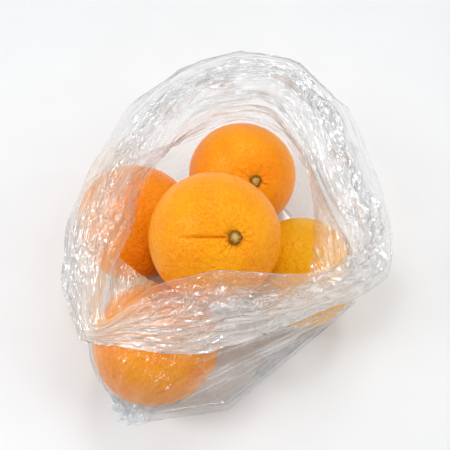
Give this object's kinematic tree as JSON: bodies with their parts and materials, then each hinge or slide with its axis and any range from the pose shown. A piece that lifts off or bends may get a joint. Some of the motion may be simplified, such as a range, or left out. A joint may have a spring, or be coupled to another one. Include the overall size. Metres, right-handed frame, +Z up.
{
  "type": "open clear plastic bag of oranges",
  "caption": "Clear film bag with its mouth open and turned out into a wide cuff, standing full of whole oranges heaped in two layers.",
  "frame": {"origin": "on the bag's flat bottom, where it rests, under the middle of the heap of fruit", "axes": "+Z up; +Y away from the front of the bag, where its bottom seam lies on the table; +X to the right seen from the front"},
  "size_m": [0.1999, 0.2237, 0.124],
  "materials": {
    "film": "thin clear polyethylene film, crinkled and glossy",
    "peel": "waxy orange peel with fine pores",
    "calyx": "dry green-brown stalk button"
  },
  "bodies": {
    "root": {"bag": "film", "orange_back": "peel", "orange_left": "peel", "orange_right": "peel", "orange_front": "peel", "orange_top": "peel", "calyx_back": "calyx", "calyx_left": "calyx", "calyx_right": "calyx", "calyx_front": "calyx", "calyx_top": "calyx"}
  },
  "joints": []
}
